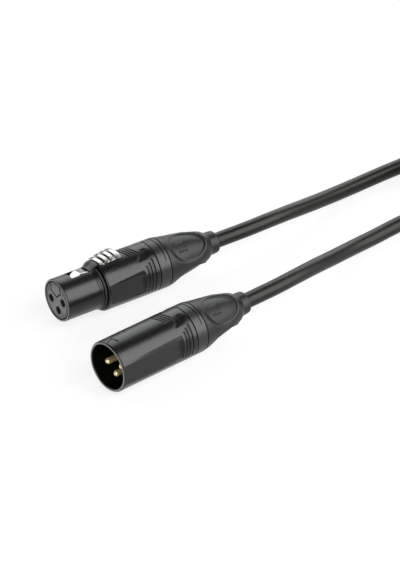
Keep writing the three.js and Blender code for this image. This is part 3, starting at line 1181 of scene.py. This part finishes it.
@dataclass
class FemaleConnector:
    """Female connector: shell with its seal ring, insert, socket contacts, sprung latch and rear end."""

    placement: Placement = Placement(-29.15, 22.6, 9.5, 0.0, -12.0)
    shell_end: float = 38.7
    radius: float = 9.5
    nose_radius: float = 8.0
    nose_bore: float = 7.1
    nose_length: float = 14.4
    body_start: float = 16.5
    window: tuple[float, float, float] = (5.8, 13.4, 2.8)
    recess: tuple[float, float, float] = (17.0, 27.0, 4.0)
    bridge: tuple[float, float, float] = (13.6, 17.0, 22.0)
    insert_radius: float = 6.8
    insert_length: float = 15.5
    insert_recess: float = 0.15
    insert_ring: tuple[float, float, float] = (6.15, 0.3, 0.12)
    key_outline: tuple[tuple[float, float], ...] = (
        (-3.0, 6.1),
        (-3.0, 3.1),
        (0.0, 1.3),
        (3.0, 3.1),
        (3.0, 6.1),
    )
    key_width: float = 0.5
    key_depth: float = 0.34
    number_places: tuple[tuple[str, float, float], ...] = (
        ("2", 5.35, -57.0),
        ("1", 5.35, 57.0),
        ("3", 5.3, 150.0),
    )
    number_size: float = 1.7
    number_height: float = 0.07
    contacts: ContactRing = field(default_factory=ContactRing)

    def build(self) -> None:
        """Builds the whole connector."""
        self._shell()
        self._seal_ring()
        self._insert()
        self._numbers()
        self._sockets()
        self._latch()
        RearEnd("female", self.shell_end, self.placement, Ride.FEMALE_NUT).build()
        dress("latch_pin", STEEL)
        dress("latch_spring", STEEL)

    def _skin(self, x: np.ndarray, clock: np.ndarray, radius: np.ndarray) -> np.ndarray:
        """Grip relief of the body and the raised bridge in front of the latch.

        Args:
            x: Distances from the mating face.
            clock: Clock angles.
            radius: Radii of the plain profile.

        Returns:
            The new radii.
        """
        carved = ShellRelief(self.shell_end, self.body_start + 0.8, (76.0, 69.0))(x, clock, radius)
        front, back, reach = self.bridge
        rise = step_up(front, back, x)
        across = 1 - step_up(reach - 3.0, reach, np.abs(clock))
        height = self.nose_radius - 0.02 + (self.radius - self.nose_radius) * rise
        near = (x > front) & (x < self.recess[0] + 0.3) & (radius > self.nose_bore + 0.3)
        return np.where(near & (across > 0.02), np.maximum(carved, height * across), carved)

    def _shell(self) -> None:
        """Die-cast shell: slim nose, groove for the seal ring and gripped body."""
        nose = self.nose_radius
        start = self.body_start
        groove_front = self.nose_length + 0.7
        corners = (
            (0.35, self.nose_bore, 0.1),
            (0.0, self.nose_bore + 0.3, 0.1),
            (0.0, nose - 0.3, 0.15),
            (0.35, nose, 0.3),
            (13.3, nose, 0.1),
            (13.5, nose - 0.12, 0.1),
            (13.75, nose - 0.12, 0.1),
            (13.95, nose, 0.1),
            (self.nose_length, nose, 0.15),
            (self.nose_length + 0.3, nose + 0.3, 0.15),
            (groove_front, nose + 0.3, 0.12),
            (groove_front, nose - 0.4, 0.05),
            (start, nose - 0.4, 0.05),
            (start, self.radius - 0.45, 0.2),
            (start + 0.45, self.radius, 0.3),
            (self.shell_end - 0.15, self.radius, 0.12),
            (self.shell_end, self.radius - 0.15, 0.05),
            (self.shell_end, 7.8, 0.1),
            (start + 1, 7.8, 0.1),
            (start + 1, self.nose_bore, 0.1),
        )
        shape = turned(corners, sides=400, step=0.15, relief=self._skin)
        shell = make_object("female_shell_piece", shape, self.placement)
        tools = []
        for front, rear, half in (self.window, self.recess):
            tools.append(block((front, -half, 4.0), (rear, half, self.radius + 1)))
        cut(shell, self.placement, *tools)
        settle(shell, SHELL_PAINT, Ride.CABLE_SET, ["female_shell"])

    def _seal_ring(self) -> None:
        """Rubber ring in the groove behind the nose."""
        inner = self.nose_radius - 0.1
        start = self.nose_length + 1.0
        end = self.body_start - 0.3
        corners = (
            (start, inner, 0.05),
            (start, inner + 0.6, 0.2),
            ((start + end) / 2, inner + 0.75, 0.2),
            (end, inner + 0.6, 0.2),
            (end, inner, 0.05),
        )
        make_piece("seal_ring", turned(corners, sides=160), self.placement, RUBBER, Ride.CABLE_SET)

    def _insert(self) -> None:
        """Grey insert with a ring line, the outline of the key and three chamfered contact holes."""
        front = self.insert_recess
        corners = (
            (front, 0.0, 0.0),
            (front, self.insert_radius, 0.25),
            (self.insert_length, self.insert_radius, 0.2),
            (self.insert_length, 0.0, 0.0),
        )
        shape = turned(corners, sides=240, step=0.13, closed=False)
        x, y, z = shape.points.T
        on_face = x < front + 0.02
        ring, ring_width, ring_depth = self.insert_ring
        depth = groove(np.abs(np.hypot(y, z) - ring), ring_width, ring_depth)
        for start, end in zip(self.key_outline, self.key_outline[1:]):
            distance = from_segment(-y, z, start, end)
            depth = np.maximum(depth, groove(distance, self.key_width, self.key_depth))
        shape.points[:, 0] = x + depth * on_face
        insert = make_object("female_insert_piece", shape, self.placement)
        cut(insert, self.placement, *self._insert_tools())
        settle(insert, GREY_INSERT, Ride.CABLE_SET, ["female_insert"], sharp=50.0)

    def _insert_tools(self) -> list[Shape]:
        """Contact holes and the slot above the latch arm."""
        front = self.insert_recess
        end = self.insert_length + 1
        hole = (
            (-1.0, 0.0, 0.0),
            (-1.0, 1.62, 0.0),
            (front, 1.62, 0.0),
            (front + 0.28, 1.35, 0.0),
            (1.7, 1.35, 0.0),
            (1.7, 1.95, 0.0),
            (end, 1.95, 0.0),
            (end, 0.0, 0.0),
        )
        drill = turned(hole, sides=48, closed=False, step=20.0)
        tools = [drill.moved(y=y, z=z) for y, z in self.contacts.spots()]
        tools.append(block((1.6, -3.0, 2.5), (end, 3.0, self.insert_radius + 1)))
        return tools

    def _numbers(self) -> None:
        """Raised contact numbers beside their holes."""
        shapes = []
        for text, circle, angle in self.number_places:
            turn = math.radians(angle)
            place = numeral(text, self.number_size, self.number_height)
            shapes.append(place.moved(self.insert_recess, -circle * math.sin(turn), circle * math.cos(turn)))
        numbers = make_object("contact_numbers", shapes[0].joined(*shapes[1:]), self.placement)
        settle(numbers, BLACK_INSERT, Ride.CABLE_SET)

    def _sockets(self) -> None:
        """Gold socket contacts: a blind tube in front and a solder cup behind."""
        corners = (
            (12.0, 0.0, 0.0),
            (12.0, 1.25, 0.0),
            (2.1, 1.25, 0.1),
            (1.9, 1.4, 0.05),
            (1.9, 1.65, 0.1),
            (16.0, 1.65, 0.1),
            (16.0, 1.2, 0.1),
            (20.0, 1.2, 0.1),
            (20.0, 0.8, 0.05),
            (17.5, 0.8, 0.0),
            (17.5, 0.0, 0.0),
        )
        for i, (y, z) in enumerate(self.contacts.spots()):
            shape = turned(corners, sides=40, closed=False).moved(y=y, z=z)
            make_piece(f"socket_contact_{i + 1}", shape, self.placement, GOLD, Ride.CABLE_SET)

    def _latch(self) -> None:
        """Latch lever: hook in the nose, arm, ribbed button and knuckle on the cross pin."""
        arm = (
            (6.9, 4.9, 0.2),
            (27.0, 4.9, 0.1),
            (27.0, 4.1, 0.5),
            (29.5, 4.1, 0.8),
            (29.5, 5.9, 0.8),
            (27.2, 6.3, 0.4),
            (13.1, 6.4, 0.2),
            (13.1, 7.45, 0.15),
            (9.9, 7.85, 0.25),
            (7.2, 6.3, 0.25),
            (6.9, 5.4, 0.2),
        )
        lever = make_object("latch_lever_piece", extruded(arm, 2.4), self.placement)
        ease_edges(lever, 0.18)
        pad = extruded(self._button_outline(), 3.6, 17, 0.55)
        button = make_object("latch_button_piece", pad, self.placement)
        ease_edges(button, 0.22)
        settle(lever, NICKEL, Ride.LATCH, ["latch_lever"])
        settle(button, NICKEL, Ride.LATCH)

    @staticmethod
    def _button_outline() -> list[Corner]:
        """Side outline of the button, with four rounded finger ribs that rise towards the rear."""
        front, pitch, slot, depth = 17.4, 2.2, 0.9, 1.45
        tops = (10.15, 10.75, 11.15, 11.4)
        outline = [(front, 6.0, 0.1)]
        for i, top in enumerate(tops[:-1]):
            start = front + i * pitch
            rear = start + pitch - slot
            outline += [(start, top - 0.25, 0.35), (rear, top + 0.15, 0.3)]
            outline += [(rear, top - depth, 0.15), (rear + slot, top - depth, 0.15)]
        last = front + 3 * pitch
        outline += [(last, tops[-1] - 0.2, 0.35), (last + 1.7, tops[-1], 0.6)]
        outline += [(26.7, 10.3, 0.5), (26.7, 6.0, 0.1)]
        return outline


@dataclass
class MaleConnector:
    """Male connector: cup-fronted shell, insert, three pin contacts and rear end."""

    placement: Placement = Placement(-38.08, -22.67, 9.5, 5.8, -12.0)
    shell_end: float = 33.6
    radius: float = 9.5
    cup_radius: float = 8.4
    insert_start: float = 14.5
    insert_end: float = 19.0
    pin_radius: float = 1.18
    pin_tip: float = 2.6
    pin_end: float = 20.8
    arrow: tuple[tuple[float, float], ...] = ((0.9, 8.0), (3.7, 0.3), (4.2, 18.0))
    arrow_width: float = 0.44
    arrow_depth: float = 0.3
    contacts: ContactRing = field(default_factory=ContactRing)

    def build(self) -> None:
        """Builds the whole connector."""
        self._shell()
        self._insert()
        self._pins()
        RearEnd("male", self.shell_end, self.placement, Ride.MALE_NUT).build()

    def _skin(self, x: np.ndarray, clock: np.ndarray, radius: np.ndarray) -> np.ndarray:
        """Grip relief of the body and the arrow that shows which side is up.

        Args:
            x: Distances from the mating face.
            clock: Clock angles.
            radius: Radii of the plain profile.

        Returns:
            The new radii.
        """
        carved = ShellRelief(self.shell_end, 0.5, (72.0, 67.0))(x, clock, radius)
        arc = np.radians(clock) * self.radius
        ends = [(place, math.radians(angle) * self.radius) for place, angle in self.arrow]
        distance = np.minimum(from_segment(x, arc, *ends[:2]), from_segment(x, arc, *ends[1:]))
        arrow = groove(distance, self.arrow_width, self.arrow_depth)
        return carved - arrow * step_up(self.radius - 0.5, self.radius - 0.1, radius)

    def _shell(self) -> None:
        """Die-cast shell whose front is an open cup round the pins."""
        inner = self.insert_end + 0.3
        corners = (
            (0.3, self.cup_radius, 0.12),
            (0.0, self.cup_radius + 0.25, 0.1),
            (0.0, self.radius - 0.42, 0.12),
            (0.5, self.radius, 0.2),
            (self.shell_end - 0.15, self.radius, 0.12),
            (self.shell_end, self.radius - 0.15, 0.05),
            (self.shell_end, 7.8, 0.1),
            (inner, 7.8, 0.1),
            (inner, self.cup_radius, 0.1),
        )
        shape = turned(corners, sides=400, step=0.15, relief=self._skin)
        make_piece("male_shell", shape, self.placement, SHELL_PAINT, Ride.CABLE_SET)

    def _insert(self) -> None:
        """Black insert with a raised rim and a boss round each pin."""
        radius = self.cup_radius - 0.3
        front, rear = self.insert_start, self.insert_end
        disc = turned(
            (
                (front + 0.5, 0.0, 0.0),
                (front + 0.5, radius - 0.9, 0.2),
                (front, radius - 0.7, 0.2),
                (front, radius, 0.2),
                (rear, radius, 0.2),
                (rear, 0.0, 0.0),
            ),
            sides=160,
            closed=False,
        )
        boss = ((front + 1, 0.0, 0.0), (front, 0.0, 0.0), (front, 2.2, 0.3), (front + 1, 2.4, 0.0))
        bosses = [turned(boss, sides=48).moved(y=y, z=z) for y, z in self.contacts.spots()]
        make_piece("male_insert", disc.joined(*bosses), self.placement, BLACK_INSERT, Ride.CABLE_SET)

    def _pins(self) -> None:
        """Gold pin contacts with domed tips and solder cups."""
        tip, radius, end = self.pin_tip, self.pin_radius, self.pin_end
        turns = np.linspace(0, math.pi / 2, 12)
        dome = [(tip + radius * (1 - math.cos(t)), radius * math.sin(t), 0.0) for t in turns]
        corners = dome + [
            (end, radius, 0.1),
            (end, 0.8, 0.05),
            (end - 2.2, 0.8, 0.0),
            (end - 2.2, 0.0, 0.0),
        ]
        for i, (y, z) in enumerate(self.contacts.spots()):
            shape = turned(corners, sides=48, closed=False).moved(y=y, z=z)
            make_piece(f"pin_contact_{i + 1}", shape, self.placement, GOLD, Ride.CABLE_SET)


# ---- Cable -------------------------------------------------------------------------------------


class Column(Enum):
    """Columns of turns in the coil, as steps from the middle one."""

    INNER = -1
    MIDDLE = 0
    OUTER = 1


WINDING = (
    (Column.MIDDLE, 0),
    (Column.INNER, 0),
    (Column.INNER, 1),
    (Column.MIDDLE, 1),
    (Column.MIDDLE, 2),
    (Column.INNER, 2),
    (Column.INNER, 3),
    (Column.MIDDLE, 3),
    (Column.OUTER, 3),
    (Column.OUTER, 2),
    (Column.OUTER, 1),
    (Column.OUTER, 0),
)


@dataclass
class Cable:
    """Balanced cable from boot to boot: two loose runs and the coil between them. Metres."""

    diameter: float = 0.0057
    length: float = 2.85
    female_run: tuple[tuple[float, float, float], ...] = (
        (0.03935, 0.0226, 0.0095),
        (0.046, 0.0226, 0.0095),
        (0.053, 0.0226, 0.0095),
        (0.0633, 0.0235, 0.00905),
        (0.075, 0.0256, 0.0076),
        (0.0866, 0.0282, 0.0056),
        (0.0982, 0.0307, 0.0039),
        (0.11, 0.0325, 0.003),
        (0.122, 0.0335, 0.0029),
        (0.136, 0.0342, 0.0029),
        (0.149, 0.0347, 0.0033),
        (0.1595, 0.035, 0.0042),
    )
    male_run: tuple[tuple[float, float, float], ...] = (
        (0.02509, -0.01625, 0.0095),
        (0.0318, -0.01557, 0.0095),
        (0.0388, -0.01485, 0.0095),
        (0.0488, -0.0129, 0.00905),
        (0.0602, -0.0096, 0.0076),
        (0.0715, -0.006, 0.0056),
        (0.083, -0.0026, 0.0039),
        (0.0946, -0.0002, 0.003),
        (0.1065, 0.0016, 0.0029),
        (0.116, 0.0025, 0.0029),
        (0.1235, 0.0024, 0.0029),
        (0.1296, 0.0009, 0.00295),
        (0.1347, -0.0017, 0.0032),
        (0.1376, -0.0041, 0.0035),
    )
    coil_centre: tuple[float, float] = (0.1847, -0.0048)
    coil_radius: float = 0.035
    column_pitch: float = 0.0059
    layer_pitch: float = 0.00575
    first_layer: float = 0.00435
    joins_at: float = 80.3
    leaves_at: float = -155.0
    crossing: float = 60.0
    per_turn: int = 30

    def coil_points(self) -> list[tuple[float, float, float]]:
        """Points of the coil's turns, clockwise seen from above.

        Returns:
            The points, from where the female run joins to where the male run leaves.
        """
        turns = len(WINDING) - 1 + (self.joins_at - self.leaves_at) / 360
        count = round(turns * self.per_turn)
        points = []
        for i in range(count + 1):
            done = turns * i / count
            cell = min(int(done), len(WINDING) - 1)
            following = min(cell + 1, len(WINDING) - 1)
            start = 1 - self.crossing / 360
            share = float(step_up(start, 1.0, np.array(done - cell)))
            column = WINDING[cell][0].value * (1 - share) + WINDING[following][0].value * share
            layer = WINDING[cell][1] * (1 - share) + WINDING[following][1] * share
            radius = self.coil_radius + self.column_pitch * column
            angle = math.radians(self.joins_at - 360 * done)
            x = self.coil_centre[0] + radius * math.cos(angle)
            y = self.coil_centre[1] + radius * math.sin(angle)
            points.append((x, y, self.first_layer + self.layer_pitch * layer))
        return points

    def route(self) -> np.ndarray:
        """The whole centre line.

        Returns:
            Its points, a few millimetres apart.
        """
        knots = [*self.female_run, *self.coil_points(), *reversed(self.male_run)]
        return smooth_line(np.array(knots), 4)

    def build(self) -> bpy.types.Object:
        """Returns:
            The cable.
        """
        route = self.route()
        line = bpy.data.curves.new("cable", "CURVE")
        line.dimensions = "3D"
        line.bevel_depth = self.diameter / 2
        line.bevel_resolution = 7
        line.use_fill_caps = True
        spline = line.splines.new("POLY")
        spline.points.add(len(route) - 1)
        for point, place in zip(spline.points, route):
            point.co = (*place, 1.0)
        spline.use_smooth = True
        cable = bpy.data.objects.new("cable", line)
        bpy.context.scene.collection.objects.link(cable)
        settle(cable, JACKET, Ride.CABLE_SET, ["cable_run_female", "cable_coil", "cable_run_male"])
        measured = float(np.linalg.norm(np.diff(route, axis=0), axis=1).sum())
        LOG.info("cable is %.3f m long from boot to boot", measured)
        return cable


def smooth_line(knots: np.ndarray, parts: int) -> np.ndarray:
    """Curve through knots, with its tangents weighted by the distances between them.

    Args:
        knots: The points to pass through.
        parts: Pieces between two knots.

    Returns:
        The curve's points.
    """
    gaps = np.linalg.norm(np.diff(knots, axis=0), axis=1)
    slopes = np.diff(knots, axis=0) / gaps[:, None]
    tangents = np.empty_like(knots)
    tangents[0], tangents[-1] = slopes[0], slopes[-1]
    before, after = gaps[:-1, None], gaps[1:, None]
    tangents[1:-1] = (slopes[:-1] * after + slopes[1:] * before) / (before + after)
    made = []
    for i, gap in enumerate(gaps):
        t = np.arange(parts)[:, None] / parts
        first = (2 * t**3 - 3 * t**2 + 1) * knots[i] + (t**3 - 2 * t**2 + t) * gap * tangents[i]
        second = (3 * t**2 - 2 * t**3) * knots[i + 1] + (t**3 - t**2) * gap * tangents[i + 1]
        made.append(first + second)
    made.append(knots[-1:])
    return np.concatenate(made)


@dataclass
class CoilTies:
    """Loop-tape straps round the coil, each closed by a tab on top. Millimetres."""

    centre: tuple[float, float] = (184.7, -4.8)
    coil_radius: float = 35.0
    half_wide: float = 9.5
    bottom: float = 0.0
    height: float = 26.0
    width: float = 10.0
    thickness: float = 1.1
    corner: float = 3.4
    tab: tuple[float, float, float] = (-7.5, 6.5, 0.85)
    angles: tuple[float, ...] = (20.0, 290.0)

    def build(self) -> list[bpy.types.Object]:
        """Builds the ties.

        Returns:
            The ties.
        """
        ties = []
        for i, angle in enumerate(self.angles):
            shape = self._loop().joined(self._tab())
            placement = Placement(self.centre[0], self.centre[1], 0.0, angle)
            ties.append(make_piece(f"coil_tie_{i + 1}", shape, placement, TIE, Ride.CABLE_SET, 60.0))
        return ties

    def _section(self) -> np.ndarray:
        """Rounded section of the tape, as offsets outwards and across."""
        half, wide, soft = self.thickness / 2, self.width / 2, 0.35
        corners = ((-half, -wide, soft), (half, -wide, soft), (half, wide, soft), (-half, wide, soft))
        return divided(filleted(corners, True), 1.0, True)

    def _loop(self) -> Shape:
        """Band of tape round the turns."""
        half = self.thickness / 2
        left = self.coil_radius - self.half_wide - half
        right = self.coil_radius + self.half_wide + half
        low, high = self.bottom + half, self.bottom + self.height - half
        corners = ((left, low), (right, low), (right, high), (left, high))
        path = divided(filleted([(x, z, self.corner) for x, z in corners], True), 1.2, True)
        ahead = np.roll(path, -1, axis=0) - np.roll(path, 1, axis=0)
        ahead /= np.linalg.norm(ahead, axis=1)[:, None]
        outward = np.stack([ahead[:, 1], -ahead[:, 0]], axis=1)
        section = self._section()
        points = np.zeros((len(path), len(section), 3))
        points[:, :, 0] = path[:, 0, None] + outward[:, 0, None] * section[None, :, 0]
        points[:, :, 1] = section[:, 1]
        points[:, :, 2] = path[:, 1, None] + outward[:, 1, None] * section[None, :, 0]
        return Shape(points.reshape(-1, 3), grid_faces(len(path), len(section), True))

    def _tab(self) -> Shape:
        """End of the tape, lying back over the top of the band."""
        start, end, thickness = self.tab
        top = self.bottom + self.height
        outline = (
            (self.coil_radius + start, top - 0.3, 0.1),
            (self.coil_radius + end, top - 0.3, 0.1),
            (self.coil_radius + end, top + thickness, 0.4),
            (self.coil_radius + start + 1.5, top + thickness, 0.8),
            (self.coil_radius + start, top + 0.2, 0.2),
        )
        return extruded(outline, self.width / 2 - 0.2, 7, 0.12)


# ---- Studio ------------------------------------------------------------------------------------


@dataclass(frozen=True)
class SoftBox:
    """A soft area light aimed at the connectors."""

    name: str
    direction: Colour
    distance: float
    size: tuple[float, float]
    radiance: float
    colour: Colour = (1.0, 1.0, 1.0)

    def build(self, target: Vector) -> None:
        """Adds the light.

        Args:
            target: The point it faces.
        """
        light = bpy.data.lights.new(self.name, "AREA")
        light.shape = "RECTANGLE"
        light.size, light.size_y = self.size
        light.energy = self.radiance * math.pi * self.size[0] * self.size[1]
        light.color = self.colour
        lamp = bpy.data.objects.new(self.name, light)
        toward = Vector(self.direction).normalized()
        across = Vector((1.0, 0.0, 0.0))
        upward = toward.cross(across).normalized()
        across = upward.cross(toward)
        turn = Matrix((across, upward, toward)).transposed().to_4x4()
        lamp.matrix_world = Matrix.Translation(target + toward * self.distance) @ turn
        lamp.visible_camera = False
        bpy.context.scene.collection.objects.link(lamp)


@dataclass
class Studio:
    """Camera, pale floor, dim surround and soft boxes."""

    aim: tuple[float, float, float] = (0.01839, 0.00177, 0.0095)
    camera_distance: float = 1.6203
    camera_azimuth: float = -35.0
    camera_elevation: float = 33.0
    focal_length: float = 286.84
    sensor: float = 36.0
    floor_size: float = 40.0
    floor_greys: tuple[float, float] = (0.14, 0.15)
    floor_glow: float = 0.8
    surround: tuple[tuple[float, float], ...] = ((0.0, 0.9), (0.04, 0.85), (0.14, 0.1), (1.0, 0.05))
    boxes: tuple[SoftBox, ...] = (
        SoftBox("side_box", (0.481, -0.691, 0.54), 1.1, (1.5, 1.16), 5.6),
        SoftBox("back_box", (0.3, 0.69, 0.545), 1.1, (2.2, 0.84), 2.9, (0.97, 0.99, 1.0)),
        SoftBox("front_fill", (-0.82, -0.42, 0.4), 1.4, (0.9, 0.9), 4.0),
    )

    def camera(self) -> None:
        """Long-lens camera, looking down on the connectors from the mating end."""
        turn, rise = math.radians(self.camera_azimuth), math.radians(self.camera_elevation)
        back = Vector((math.sin(turn) * math.cos(rise), -math.cos(turn) * math.cos(rise), math.sin(rise)))
        data = bpy.data.cameras.new("camera")
        data.lens = self.focal_length
        data.sensor_width = self.sensor
        data.clip_start, data.clip_end = 0.05, 100.0
        camera = bpy.data.objects.new("camera", data)
        camera.location = Vector(self.aim) + back * self.camera_distance
        camera.rotation_euler = back.to_track_quat("Z", "Y").to_euler()
        bpy.context.scene.collection.objects.link(camera)
        bpy.context.scene.camera = camera

    def light(self) -> None:
        """Soft boxes, and a surround that is dim above and pale at the horizon."""
        bpy.context.scene.view_settings.view_transform = "Standard"
        for box in self.boxes:
            box.build(Vector(self.aim))
        world = bpy.data.worlds.new("surround")
        bpy.context.scene.world = world
        tree = Tree(world)
        direction = tree.node("ShaderNodeTexCoord").outputs["Generated"]
        height = tree.node("ShaderNodeSeparateXYZ", None, {0: direction}).outputs[2]
        stops = [(place, grey(level)) for place, level in self.surround]
        ramp = tree.node("ShaderNodeValToRGB", {"stops": stops}, {0: height})
        background = tree.node("ShaderNodeBackground", None, {"Color": ramp.outputs[0]})
        tree.node("ShaderNodeOutputWorld", None, {"Surface": background.outputs[0]})

    def floor(self) -> None:
        """Pale floor that glows a little, so that shadows on it stay faint."""
        half = self.floor_size / 2
        mesh = bpy.data.meshes.new("floor")
        corners = [(-half, -half, 0.0), (half, -half, 0.0), (half, half, 0.0), (-half, half, 0.0)]
        mesh.from_pydata(corners, [], [(0, 1, 2, 3)])
        floor = bpy.data.objects.new("floor", mesh)
        bpy.context.scene.collection.objects.link(floor)
        material = bpy.data.materials.new("floor_paper")
        tree = Tree(material)
        fibre = tree.noise(700.0, 4.0)
        tree.surface(
            Base_Color=tree.mixed(fibre.between(0.3, 0.7), *map(grey, self.floor_greys)),
            Roughness=0.85,
            Specular_IOR_Level=0.1,
            Emission_Color=(*grey(1.0), 1.0),
            Emission_Strength=self.floor_glow,
        )
        mesh.materials.append(material)

    def build(self) -> None:
        """Sets up the whole studio."""
        self.camera()
        self.light()
        self.floor()


def main() -> None:
    """Builds the studio, the cable and the connectors."""
    logging.basicConfig(level=logging.INFO, format="%(name)s: %(message)s")
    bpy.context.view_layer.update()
    Studio().build()
    cable_model = Cable()
    cable = cable_model.build()
    ties = CoilTies().build()
    FemaleConnector().build()
    MaleConnector().build()


if __name__ == "__main__":
    main()
